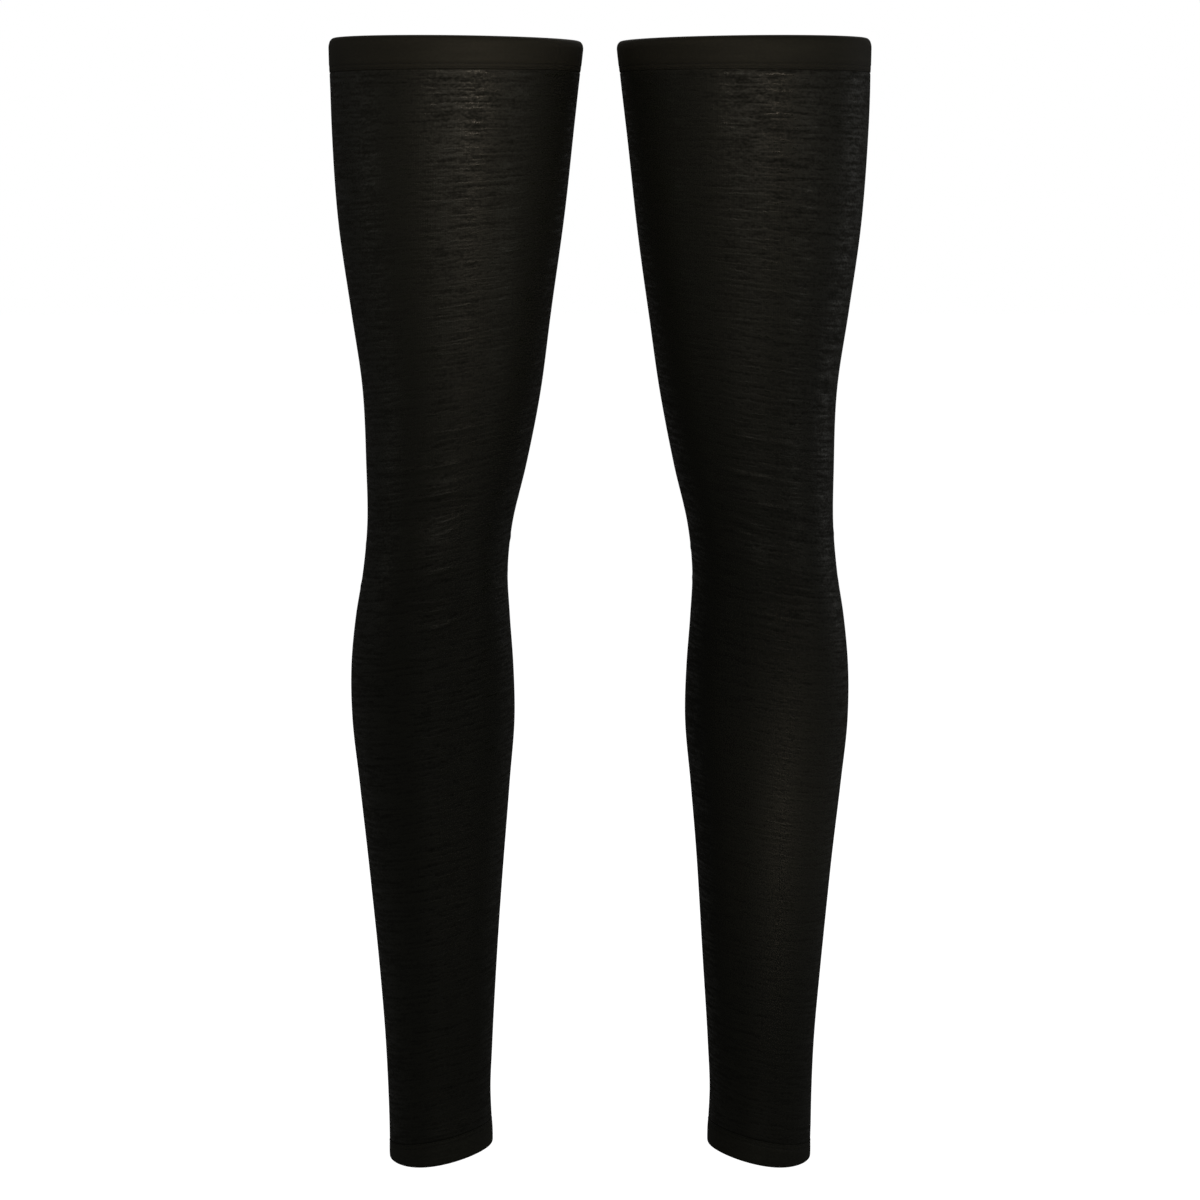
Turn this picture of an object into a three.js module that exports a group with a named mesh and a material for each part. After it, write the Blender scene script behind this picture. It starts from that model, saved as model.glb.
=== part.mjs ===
// A pair of thigh-length leg warmers in fine wool jersey, filled out as they are on the legs but with
// nothing inside. Each leg is a tapered jersey tube with a folded band at the thigh and a turned-up hem
// at the ankle. Millimetres, +Z up, the front faces -Y. The origin is midway between the two thigh
// bands, at the middle of their depth, where the wearer's thighs hold the pair up.
import * as THREE from "three";

// Driving sizes
const length = 747; // from the middle of the ankle edge to the thigh edge
const bandDepth = 21; // thigh band, from its folded edge to its lower stitching
const hemDepth = 17.5; // ankle hem, from its folded edge to its upper stitching
const jerseyWall = 1.2; // thickness of the cloth
const seamGap = 0.3; // between neighbouring pieces at a seam
const bandSeam = length - bandDepth;
const heldHeight = length - bandDepth / 2; // height of the origin above the ankle edge

// Mesh steps: points round a leg, and the jersey's rings, which lie closer at the knee's folds.
const pointsAround = 40;
const ringSpans = [
  { from: hemDepth + seamGap, to: 350, steps: 12 },
  { from: 350, to: 460, steps: 10 },
  { from: 460, to: bandSeam - seamGap, steps: 9 },
];

// Horizontal sections of a filled-out leg. height is above the ankle edge; inner and outer are measured
// from the plane midway between the legs, front and back from the side line through the origin; narrow
// is the share by which the front of the section is drawn in.
const sections = [
  { height: -10, inner: 73, outer: 142.9, front: 25, back: 52, narrow: 0.06 },
  { height: 15, inner: 73.3, outer: 143.1, front: 24, back: 50, narrow: 0.06 },
  { height: 45, inner: 74.6, outer: 143.6, front: 24.5, back: 47.5, narrow: 0.07 },
  { height: 75, inner: 73.3, outer: 144.8, front: 26.5, back: 48, narrow: 0.08 },
  { height: 125, inner: 70.4, outer: 148.5, front: 30, back: 52, narrow: 0.1 },
  { height: 200, inner: 65.7, outer: 155.6, front: 35, back: 59.5, narrow: 0.12 },
  { height: 255, inner: 61.2, outer: 161.7, front: 39.5, back: 65, narrow: 0.12 },
  { height: 300, inner: 57.5, outer: 165.9, front: 44, back: 64.5, narrow: 0.1 },
  { height: 335, inner: 58, outer: 165.7, front: 48, back: 60, narrow: 0.07 },
  { height: 370, inner: 60, outer: 162, front: 53, back: 54.5, narrow: 0.04 },
  { height: 400, inner: 61, outer: 156.9, front: 57.5, back: 52, narrow: 0.01 },
  { height: 430, inner: 58, outer: 153.9, front: 60.5, back: 53, narrow: 0 },
  { height: 470, inner: 48.8, outer: 154.1, front: 64, back: 57.5, narrow: 0 },
  { height: 520, inner: 39, outer: 156.1, front: 70, back: 64, narrow: 0 },
  { height: 570, inner: 32, outer: 163, front: 76, back: 70, narrow: 0 },
  { height: 630, inner: 23.7, outer: 171, front: 82, back: 76, narrow: 0 },
  { height: 690, inner: 16.9, outer: 175.1, front: 86, back: 82, narrow: 0 },
  { height: 747, inner: 10.5, outer: 176.5, front: 87, back: 86, narrow: 0 },
];

// The courses of the jersey don't lie level: rise is how much higher a course is at the inner side than
// halfway round, and drop how much lower it is at the front.
const courses = [
  { level: 0, rise: 7.1, drop: -1.2 },
  { level: 200, rise: 8.5, drop: 0.5 },
  { level: 400, rise: 9, drop: 2 },
  { level: 570, rise: 7.5, drop: 2.5 },
  { level: 670, rise: 3, drop: 2.5 },
  { level: 726, rise: 0.2, drop: 2.5 },
  { level: 747, rise: -0.9, drop: 2.5 },
];

// The largest folds, soft troughs along the courses at the knee. level is the course, bearing the angle
// round the leg in degrees from the outer side towards the back, halfHeight and halfSpread (degrees) how
// far the trough reaches.
const folds = [
  { leg: "right", level: 441, bearing: -84, halfHeight: 11, halfSpread: 26, depth: 1.3 },
  { leg: "right", level: 384, bearing: -80, halfHeight: 12, halfSpread: 22, depth: 1.2 },
  { leg: "right", level: 419, bearing: 92, halfHeight: 13, halfSpread: 40, depth: 1.5 },
  { leg: "right", level: 381, bearing: 104, halfHeight: 12, halfSpread: 32, depth: 1.2 },
  { leg: "left", level: 431, bearing: -100, halfHeight: 12, halfSpread: 24, depth: 1.1 },
  { leg: "left", level: 390, bearing: -76, halfHeight: 12, halfSpread: 20, depth: 0.9 },
  { leg: "left", level: 411, bearing: 84, halfHeight: 13, halfSpread: 42, depth: 1.5 },
  { leg: "left", level: 373, bearing: 96, halfHeight: 11, halfSpread: 28, depth: 1.1 },
];

// The thigh band's wall, folded over its elastic: from the seam up the outside, over the fold and down
// the inside. height is above the seam, and inset the depth below the jersey's outside.
const bandProfile = [
  { height: 0, inset: 0.2 },
  { height: 1, inset: -0.3 },
  { height: 15.5, inset: -0.3 },
  { height: 18.5, inset: 0.4 },
  { height: 20.3, inset: 1.6 },
  { height: bandDepth, inset: 2.9 },
  { height: 20, inset: 4.6 },
  { height: 15, inset: 2.4 },
  { height: 10, inset: 2.4 },
  { height: 5, inset: 2.4 },
  { height: 0, inset: 2.4 },
];

// The ankle hem's wall, jersey turned up inside: from the fold up the outside and down the inside, with
// height above the ankle edge.
const hemProfile = [
  { height: 0, inset: 1.2 },
  { height: 0.9, inset: 0.3 },
  { height: 3.5, inset: -0.2 },
  { height: 16.5, inset: -0.2 },
  { height: hemDepth, inset: 0.2 },
  { height: hemDepth, inset: 2 },
  { height: 13, inset: 2 },
  { height: 9, inset: 2 },
  { height: 4.5, inset: 2 },
  { height: 1, inset: 2.6 },
];

// A smooth curve through one column of a table whose rows are in order of the key column.
function smoothColumn(rows, key, column, at) {
  const last = rows.length - 2;
  const above = rows.findIndex((row) => row[key] > at);
  const i = above < 0 ? last : Math.max(above - 1, 0);
  const rate = (j) => (rows[j + 1][column] - rows[j][column]) / (rows[j + 1][key] - rows[j][key]);
  const slopeAt = (j) => {
    if (j === 0) return rate(0);
    if (j > last) return rate(last);
    const before = rows[j][key] - rows[j - 1][key];
    const after = rows[j + 1][key] - rows[j][key];
    return (rate(j - 1) * after + rate(j) * before) / (before + after);
  };
  const span = rows[i + 1][key] - rows[i][key];
  const t = (at - rows[i][key]) / span;
  const eased = t * t * (3 - 2 * t);
  const straight = rows[i][column] * (1 - eased) + rows[i + 1][column] * eased;
  return straight + span * t * (1 - t) * (slopeAt(i) * (1 - t) - slopeAt(i + 1) * t);
}

// How deep the folds of one leg lie at a course and an angle round the leg.
function foldDepth(leg, level, turn) {
  let depth = 0;
  for (const fold of folds.filter((row) => row.leg === leg)) {
    const bearing = THREE.MathUtils.degToRad(fold.bearing);
    const away = Math.atan2(Math.sin(turn - bearing), Math.cos(turn - bearing));
    const across = (level - fold.level) / fold.halfHeight;
    const along = away / THREE.MathUtils.degToRad(fold.halfSpread);
    depth += fold.depth * Math.exp(-(across ** 2) - along ** 2);
  }
  return depth;
}

// A point of the cloth on the leg at +X: level is where its course lies along the leg, turn the angle
// round the leg from its outer side towards the back, and inset the depth below the outside.
function legPoint(level, turn, inset) {
  const rise = smoothColumn(courses, "level", "rise", level);
  const drop = smoothColumn(courses, "level", "drop", level);
  const height = level - rise * Math.cos(turn) + drop * Math.sin(turn);
  const at = (column) => smoothColumn(sections, "height", column, height);
  const halfWidth = (at("outer") - at("inner")) / 2;
  const halfDepth = (at("back") + at("front")) / 2;
  const narrow = at("narrow");

  // The section is an ellipse drawn in at the front; its tangent gives the way in through the cloth.
  const tangentX = -halfWidth * (Math.sin(turn) - narrow * Math.cos(2 * turn));
  const tangentY = halfDepth * Math.cos(turn);
  const tangent = Math.hypot(tangentX, tangentY);
  const x = halfWidth * Math.cos(turn) * (1 + narrow * Math.sin(turn));
  const y = halfDepth * Math.sin(turn);
  return new THREE.Vector3(
    (at("outer") + at("inner")) / 2 + x - (inset * tangentY) / tangent,
    (at("back") - at("front")) / 2 + y + (inset * tangentX) / tangent,
    height - heldHeight,
  );
}

// A tube of cloth through its wall's profile, {level, inset} from the outside round to the inside: turned
// first as a straight tube, then every point is moved to its place on the leg.
function clothTube(profile, leg) {
  const straightRadius = 100;
  const side = leg === "left" ? 1 : -1; // the wearer's left leg is at +X, because the front faces -Y
  const outline = [...profile, profile[0]].map(
    ({ level, inset }) => new THREE.Vector2(straightRadius - inset, level),
  );
  const tube = new THREE.LatheGeometry(outline, pointsAround);
  tube.rotateX(Math.PI / 2);
  const points = tube.getAttribute("position");
  for (let i = 0; i < points.count; i++) {
    const turn = Math.atan2(points.getY(i), side * points.getX(i));
    const level = points.getZ(i);
    const inset = straightRadius - Math.hypot(points.getX(i), points.getY(i));
    const point = legPoint(level, turn, inset + foldDepth(leg, level, turn));
    points.setXYZ(i, side * point.x, point.y, point.z);
  }
  tube.computeVertexNormals();
  return tube;
}

const jersey = () => new THREE.MeshStandardMaterial({ color: 0x1b1a17, roughness: 0.92, metalness: 0 });
const bandCloth = () => new THREE.MeshStandardMaterial({ color: 0x211f1b, roughness: 0.85, metalness: 0 });

// The jersey tube of a leg, cut as one panel and joined down the back.
function legPanel(leg) {
  const levels = [ringSpans[0].from];
  for (const { from, to, steps } of ringSpans)
    for (let i = 1; i <= steps; i++) levels.push(from + ((to - from) * i) / steps);
  const outside = levels.map((level) => ({ level, inset: 0 }));
  const inside = levels.toReversed().map((level) => ({ level, inset: jerseyWall }));
  return new THREE.Mesh(clothTube([...outside, ...inside], leg), jersey());
}

// The thigh band is sewn to the top of the jersey.
function thighBand(leg) {
  const profile = bandProfile.map(({ height, inset }) => ({ level: bandSeam + height, inset }));
  return new THREE.Mesh(clothTube(profile, leg), bandCloth());
}

// The ankle hem is of the same jersey.
function ankleHem(leg) {
  const profile = hemProfile.map(({ height, inset }) => ({ level: height, inset }));
  return new THREE.Mesh(clothTube(profile, leg), jersey());
}

const pair = new THREE.Group();
for (const leg of ["left", "right"]) {
  const pieces = { leg_panel: legPanel(leg), thigh_band: thighBand(leg), ankle_hem: ankleHem(leg) };
  const legGroup = new THREE.Group();
  for (const [piece, mesh] of Object.entries(pieces)) {
    mesh.name = `${leg}_${piece}`;
    legGroup.add(mesh);
  }
  pair.add(legGroup);
}

export default pair;
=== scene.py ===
"""Dresses a pair of long wool jersey leg warmers: cloth, bands, hems, seams, thread, camera and light.

The cloth of each leg is a thin shell on the form of its solid, so the same tables of the leg's form
stand here as in the solids' source. Sizes in the tables are millimetres; finished meshes are in metres.
"""

import logging
import math
from dataclasses import dataclass
from enum import Enum

import bmesh
import bpy
import numpy as np
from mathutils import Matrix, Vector


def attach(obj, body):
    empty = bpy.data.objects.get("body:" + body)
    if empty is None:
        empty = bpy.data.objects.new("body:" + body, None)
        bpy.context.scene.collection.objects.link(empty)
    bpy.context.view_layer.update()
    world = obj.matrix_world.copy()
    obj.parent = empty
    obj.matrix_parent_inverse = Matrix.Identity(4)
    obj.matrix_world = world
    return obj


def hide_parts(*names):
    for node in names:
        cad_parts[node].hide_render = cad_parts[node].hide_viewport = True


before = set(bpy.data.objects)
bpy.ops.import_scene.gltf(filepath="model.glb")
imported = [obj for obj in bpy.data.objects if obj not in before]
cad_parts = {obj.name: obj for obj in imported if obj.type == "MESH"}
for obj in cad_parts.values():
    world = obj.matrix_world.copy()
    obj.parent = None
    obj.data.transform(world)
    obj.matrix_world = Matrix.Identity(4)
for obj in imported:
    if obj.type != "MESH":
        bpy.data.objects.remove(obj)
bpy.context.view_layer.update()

LOG = logging.getLogger("leg_warmers")
MM = 0.001
FRONT = -math.pi / 2  # bearing of the front middle, from the outer side towards the back
BACK = math.pi / 2  # bearing of the back seam
HELD_HEIGHT = 736.5  # height of the origin, and of the band's middle, above the middle of the ankle edge
BAND_SEAM = 726.0  # where the thigh band meets the jersey
THIGH_EDGE = 747.0
HEM_SEAM = 17.5  # where the ankle hem meets the jersey
SEAM_GAP = 0.3  # between the back seam's ridge and the band
CLOTH = 0.6  # thickness of one layer of the jersey
UV_NAME = "cloth_metres"  # u round the leg from the front middle, v along it, both in metres


class Leg(Enum):
    """The wearer's leg. The front faces -Y, so the left leg is at +X."""

    LEFT = "left"
    RIGHT = "right"

    @property
    def side(self) -> int:
        """The sign of the leg's place along X."""
        return 1 if self is Leg.LEFT else -1


class Slot(Enum):
    """The record's material slots."""

    JERSEY = "jersey"
    BAND = "band"


def smooth_column(rows: np.ndarray, column: int, at: np.ndarray) -> np.ndarray:
    """Reads a smooth curve through one column of a table.

    Args:
        rows: the table, in order of its first column.
        column: which column to read.
        at: values of the first column.

    Returns:
        The column's value at each of them.
    """
    keys = rows[:, 0]
    values = rows[:, column]
    spans = np.diff(keys)
    rates = np.diff(values) / spans
    slopes = np.empty_like(values)
    slopes[0] = rates[0]
    slopes[-1] = rates[-1]
    slopes[1:-1] = (rates[:-1] * spans[1:] + rates[1:] * spans[:-1]) / (spans[:-1] + spans[1:])
    i = np.clip(np.searchsorted(keys, at, side="right") - 1, 0, len(keys) - 2)
    t = (at - keys[i]) / spans[i]
    eased = t * t * (3 - 2 * t)
    straight = values[i] * (1 - eased) + values[i + 1] * eased
    return straight + spans[i] * t * (1 - t) * (slopes[i] * (1 - t) - slopes[i + 1] * t)


def wrapped(angle: np.ndarray) -> np.ndarray:
    """The same angle between minus and plus half a turn."""
    return (angle + math.pi) % (2 * math.pi) - math.pi


class LegForm:
    """The outside of a filled-out leg, as in the solids' source."""

    # height, inner, outer, front, back, narrow
    SECTIONS = np.array([
        (-10, 73, 142.9, 25, 52, 0.06),
        (15, 73.3, 143.1, 24, 50, 0.06),
        (45, 74.6, 143.6, 24.5, 47.5, 0.07),
        (75, 73.3, 144.8, 26.5, 48, 0.08),
        (125, 70.4, 148.5, 30, 52, 0.1),
        (200, 65.7, 155.6, 35, 59.5, 0.12),
        (255, 61.2, 161.7, 39.5, 65, 0.12),
        (300, 57.5, 165.9, 44, 64.5, 0.1),
        (335, 58, 165.7, 48, 60, 0.07),
        (370, 60, 162, 53, 54.5, 0.04),
        (400, 61, 156.9, 57.5, 52, 0.01),
        (430, 58, 153.9, 60.5, 53, 0),
        (470, 48.8, 154.1, 64, 57.5, 0),
        (520, 39, 156.1, 70, 64, 0),
        (570, 32, 163, 76, 70, 0),
        (630, 23.7, 171, 82, 76, 0),
        (690, 16.9, 175.1, 86, 82, 0),
        (747, 10.5, 176.5, 87, 86, 0),
    ])
    # level, rise towards the inner side, drop towards the front
    COURSES = np.array([
        (0, 7.1, -1.2),
        (200, 8.5, 0.5),
        (400, 9, 2),
        (570, 7.5, 2.5),
        (670, 3, 2.5),
        (726, 0.2, 2.5),
        (747, -0.9, 2.5),
    ])

    def __init__(self) -> None:
        """Measures the way round the leg once, for the cloth's own coordinates."""
        self.levels = np.linspace(0, THIGH_EDGE, 84)
        self.bearings = np.linspace(FRONT - math.pi, FRONT + math.pi, 241)
        level, turn = np.meshgrid(self.levels, self.bearings, indexing="ij")
        ring = self.place(level, turn, np.zeros_like(level))
        step = np.linalg.norm(np.diff(ring, axis=1), axis=2)
        arc = np.concatenate([np.zeros((len(self.levels), 1)), np.cumsum(step, axis=1)], axis=1)
        self.rounds = arc[:, -1]
        middle = len(self.bearings) // 2
        self.arcs = arc - arc[:, middle : middle + 1]

    def place(self, level: np.ndarray, turn: np.ndarray, inset: np.ndarray) -> np.ndarray:
        """Places points of the cloth of the leg at +X.

        Args:
            level: where each point's course lies along the leg.
            turn: the bearing from the outer side towards the back.
            inset: depth below the outside.

        Returns:
            Points in millimetres, with the origin at the bands.
        """
        rise = smooth_column(self.COURSES, 1, level)
        drop = smooth_column(self.COURSES, 2, level)
        height = level - rise * np.cos(turn) + drop * np.sin(turn)
        inner, outer, front, back, narrow = (
            smooth_column(self.SECTIONS, column, height) for column in range(1, 6)
        )
        half_width = (outer - inner) / 2
        half_depth = (back + front) / 2
        tangent_x = -half_width * (np.sin(turn) - narrow * np.cos(2 * turn))
        tangent_y = half_depth * np.cos(turn)
        tangent = np.hypot(tangent_x, tangent_y)
        x = half_width * np.cos(turn) * (1 + narrow * np.sin(turn))
        y = half_depth * np.sin(turn)
        return np.stack([
            (outer + inner) / 2 + x - inset * tangent_y / tangent,
            (back - front) / 2 + y + inset * tangent_x / tangent,
            height - HELD_HEIGHT,
        ], axis=-1)

    def arc(self, level: np.ndarray, turn: np.ndarray) -> np.ndarray:
        """Measures the way round the leg from the front middle.

        Args:
            level: courses.
            turn: bearings, within half a turn of the front middle.

        Returns:
            The way in millimetres, less than nothing on the inner side.
        """
        row = np.clip(np.searchsorted(self.levels, level) - 1, 0, len(self.levels) - 2)
        part = (level - self.levels[row]) / (self.levels[row + 1] - self.levels[row])
        step = self.bearings[1] - self.bearings[0]
        column = np.clip(((turn - self.bearings[0]) / step).astype(int), 0, len(self.bearings) - 2)
        share = (turn - self.bearings[column]) / step
        low = self.arcs[row, column] * (1 - share) + self.arcs[row, column + 1] * share
        high = self.arcs[row + 1, column] * (1 - share) + self.arcs[row + 1, column + 1] * share
        return low * (1 - part) + high * part

    def round_at(self, level: np.ndarray) -> np.ndarray:
        """The measure right round the leg."""
        return np.interp(level, self.levels, self.rounds)


FORM = LegForm()


@dataclass(frozen=True)
class Crease:
    """A soft ridge of the cloth, or a trough where its height is negative.

    Args:
        level: the course at its middle.
        bearing: degrees from the outer side towards the back; the front is -90.
        tilt: degrees by which it rises towards the inner side, from the courses.
        half_length: how far it reaches from its middle.
        half_width: half the width of the ridge.
        height: how far it stands out.
        bend: how much its ends turn up.
    """

    level: float
    bearing: float
    tilt: float
    half_length: float
    half_width: float
    height: float
    bend: float = 0.0

    def relief(self, level: np.ndarray, turn: np.ndarray) -> np.ndarray:
        """Works out the crease's ridge, with a shallow trough along each side.

        Args:
            level: courses.
            turn: bearings from the outer side towards the back.

        Returns:
            How far the cloth stands out, in millimetres.
        """
        bearing = math.radians(self.bearing)
        inwards = -1 if math.sin(bearing) < 0 else 1
        reach = wrapped(turn - bearing) * FORM.round_at(level) / (2 * math.pi) * inwards
        tilt = math.radians(self.tilt)
        along = (reach * math.cos(tilt) + (level - self.level) * math.sin(tilt)) / self.half_length
        across = (level - self.level) * math.cos(tilt) - reach * math.sin(tilt) - self.bend * along**2
        across = across / self.half_width
        return self.height * (1 - 0.7 * across**2) * np.exp(-(across**2)) * np.exp(-1.4 * along**2)


@dataclass(frozen=True)
class Fold:
    """One of the solids' large soft troughs at the knee, in the same terms as their source."""

    level: float
    bearing: float
    half_height: float
    half_spread: float
    depth: float

    def relief(self, level: np.ndarray, turn: np.ndarray) -> np.ndarray:
        """Works out the trough.

        Args:
            level: courses.
            turn: bearings from the outer side towards the back.

        Returns:
            How far the cloth stands out, in millimetres, which is never more than nothing.
        """
        along = wrapped(turn - math.radians(self.bearing)) / math.radians(self.half_spread)
        across = (level - self.level) / self.half_height
        return -self.depth * np.exp(-(across**2) - along**2)


FOLDS = {
    Leg.RIGHT: (
        Fold(441, -84, 11, 26, 1.3),
        Fold(384, -80, 12, 22, 1.2),
        Fold(419, 92, 13, 40, 1.5),
        Fold(381, 104, 12, 32, 1.2),
    ),
    Leg.LEFT: (
        Fold(431, -100, 12, 24, 1.1),
        Fold(390, -76, 12, 20, 0.9),
        Fold(411, 84, 13, 42, 1.5),
        Fold(373, 96, 11, 28, 1.1),
    ),
}

CREASES = {
    # The photo's left leg: a slanted bundle above the knee, long level ones over it, small ones below it.
    Leg.RIGHT: (
        Crease(441.4, -95, 12, 20, 2, 0.53),
        Crease(438.2, -98, 13.5, 23, 2, 0.65),
        Crease(434.9, -97, 13, 21, 2, 0.56),
        Crease(431.4, -101, 15, 16, 2, 0.4),
        Crease(456.7, -83.7, 1, 21, 2.1, 0.62),
        Crease(462.5, -92, 3, 15, 2, 0.34),
        Crease(475, -76.3, 1.5, 31, 2.3, 0.65),
        Crease(481.5, -64, -2, 17, 2, 0.31),
        Crease(497, -98, 2, 24, 2.4, 0.34),
        Crease(519, -72, 0, 27, 2.8, 0.34),
        Crease(418, -70, -3, 17, 2.2, 0.34),
        Crease(406, -101, 4, 14, 2, 0.37),
        Crease(385.5, -85, -5, 17, 2, 0.56),
        Crease(379.6, -96, 2, 12, 2, 0.34),
        Crease(368.8, -101.8, 13, 13, 2, 0.53),
        Crease(361.5, -93, 6, 10, 2, 0.31),
        Crease(350, -78, -3, 15, 2.2, 0.31),
        Crease(344, -122, 5, 12, 2, 0.25),
        # The inner and outer sides of the knee.
        Crease(437, -158, 8, 22, 2.3, 0.3),
        Crease(413, 176, 3, 20, 2.6, 0.3),
        Crease(392, -166, -4, 17, 2.3, 0.24),
        Crease(428, -18, 4, 20, 2.6, 0.22),
        Crease(399, -8, -5, 17, 2.4, 0.22),
        # The hollow of the knee, where the jersey bunches most.
        Crease(446, 82, 5, 30, 2.6, 0.42, 2),
        Crease(436, 101, -3, 33, 2.8, 0.56, 3),
        Crease(426.5, 86, 3, 37, 2.7, 0.66, 3),
        Crease(417, 98, -2, 40, 2.6, 0.72, 3),
        Crease(408, 84, 4, 34, 2.6, 0.6, 2),
        Crease(398, 103, -5, 31, 2.7, 0.56, 2),
        Crease(387, 90, 2, 28, 2.6, 0.42, 1),
        Crease(375, 106, -6, 24, 2.6, 0.32, 1),
        Crease(459, 96, -2, 26, 2.8, 0.3, 1),
        Crease(474, 80, 3, 24, 3, 0.22),
        # The tendon at the heel side of the ankle.
        Crease(62, 84, 4, 17, 2.6, 0.3),
        Crease(49, 99, -4, 15, 2.4, 0.26),
        Crease(78, 95, -3, 16, 2.8, 0.22),
        Crease(57, -88, 3, 15, 2.6, 0.16),
    ),
    Leg.LEFT: (
        Crease(436.5, -104, 9, 21, 2, 0.43),
        Crease(432.8, -99, 10.5, 18, 2, 0.46),
        Crease(428.4, -107, 8, 16, 2, 0.37),
        Crease(449.5, -82, 2, 22, 2.2, 0.43),
        Crease(468, -95, 1.5, 26, 2.4, 0.43),
        Crease(474.8, -77, -1, 16, 2.1, 0.25),
        Crease(492, -84, 1, 25, 2.6, 0.28),
        Crease(511, -101, 2, 22, 2.7, 0.25),
        Crease(411, -88, -3, 16, 2.2, 0.31),
        Crease(397, -67, 4, 15, 2.1, 0.31),
        Crease(390.5, -79, 2, 17, 2, 0.43),
        Crease(377, -98, 7, 14, 2, 0.4),
        Crease(370.2, -90, 9, 11, 2, 0.31),
        Crease(354, -84, -2, 15, 2.2, 0.25),
        Crease(431, -155, 6, 20, 2.4, 0.26),
        Crease(407, -172, -3, 20, 2.5, 0.3),
        Crease(386, 178, 4, 16, 2.3, 0.2),
        Crease(434, -12, -4, 19, 2.6, 0.22),
        Crease(404, -20, 5, 18, 2.4, 0.2),
        Crease(450, 95, -4, 28, 2.7, 0.4, 2),
        Crease(440, 79, 3, 31, 2.7, 0.5, 2),
        Crease(430, 98, -3, 36, 2.7, 0.62, 3),
        Crease(420.5, 85, 2, 39, 2.7, 0.7, 3),
        Crease(411, 95, -3, 37, 2.6, 0.68, 3),
        Crease(401.5, 80, 4, 32, 2.6, 0.56, 2),
        Crease(391, 99, -4, 30, 2.7, 0.46, 2),
        Crease(380, 87, 3, 25, 2.6, 0.38, 1),
        Crease(368, 101, -5, 22, 2.6, 0.26),
        Crease(463, 84, 2, 25, 2.9, 0.26),
        Crease(66, 97, -4, 16, 2.6, 0.28),
        Crease(53, 83, 3, 17, 2.4, 0.28),
        Crease(81, 86, 3, 15, 2.8, 0.2),
        Crease(60, -96, -3, 14, 2.6, 0.16),
    ),
}


def cloth_relief(leg: Leg, level: np.ndarray, turn: np.ndarray) -> np.ndarray:
    """How far the jersey of a leg stands out from the plain form.

    Args:
        leg: which leg.
        level: courses.
        turn: bearings.

    Returns:
        The relief in millimetres, with a slow unevenness of a tenth or two over the whole cloth.
    """
    relief = 0.12 * np.sin(level / 23 + 2.1 * np.sin(turn) + leg.side)
    relief = relief + 0.1 * np.sin(level / 37 - 3 * turn + 2 * leg.side)
    for shape in FOLDS[leg] + CREASES[leg]:
        relief = relief + shape.relief(level, turn)
    ends = np.clip((level - HEM_SEAM) / 12, 0, 1) * np.clip((BAND_SEAM - level) / 12, 0, 1)
    return relief * ends


def on_leg(leg: Leg, level: np.ndarray, turn: np.ndarray, inset: np.ndarray) -> np.ndarray:
    """Places points of a leg's cloth in the shared frame, in metres.

    Args:
        leg: which leg.
        level: courses.
        turn: bearings from the outer side towards the back.
        inset: depths below the outside of the cloth.

    Returns:
        An array of points.
    """
    level, turn, inset = np.broadcast_arrays(
        np.asarray(level, float), np.asarray(turn, float), np.asarray(inset, float)
    )
    point = FORM.place(level, turn, inset - cloth_relief(leg, level, turn))
    point[..., 0] *= leg.side
    return point * MM


def new_object(name: str, bm: bmesh.types.BMesh) -> bpy.types.Object:
    """Turns a bmesh into a smooth object at the origin and frees the bmesh.

    Args:
        name: the object's name.
        bm: its mesh.

    Returns:
        The linked object.
    """
    mesh = bpy.data.meshes.new(name)
    bm.to_mesh(mesh)
    bm.free()
    mesh.shade_smooth()
    obj = bpy.data.objects.new(name, mesh)
    bpy.context.scene.collection.objects.link(obj)
    return obj


def srgb(hex_colour: str) -> tuple[float, float, float, float]:
    """Turns an sRGB hex value into the linear colour that a socket takes.

    Args:
        hex_colour: the value, with its leading #.

    Returns:
        Red, green, blue and an alpha of one.
    """
    channels = [int(hex_colour[i : i + 2], 16) / 255 for i in (1, 3, 5)]
    linear = [c / 12.92 if c <= 0.04045 else ((c + 0.055) / 1.055) ** 2.4 for c in channels]
    return (linear[0], linear[1], linear[2], 1.0)


def add_node(tree: bpy.types.NodeTree, kind: str, inputs: dict | None = None, **settings) -> bpy.types.Node:
    """Adds a node with its settings and links.

    Args:
        tree: the node tree.
        kind: the node's type name.
        inputs: values and output sockets, by the name or number of the input that takes them.
        **settings: the node's own properties.

    Returns:
        The node.
    """
    node = tree.nodes.new(kind)
    for name, value in settings.items():
        setattr(node, name, value)
    for name, value in (inputs or {}).items():
        if isinstance(value, bpy.types.NodeSocket):
            tree.links.new(value, node.inputs[name])
        else:
            node.inputs[name].default_value = value
    return node


def new_material(name: str) -> bpy.types.Material:
    """Makes a material with an empty node tree.

    Args:
        name: what the material is.

    Returns:
        The material.
    """
    material = bpy.data.materials.new(name)
    material.use_nodes = True
    material.node_tree.nodes.clear()
    return material


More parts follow.
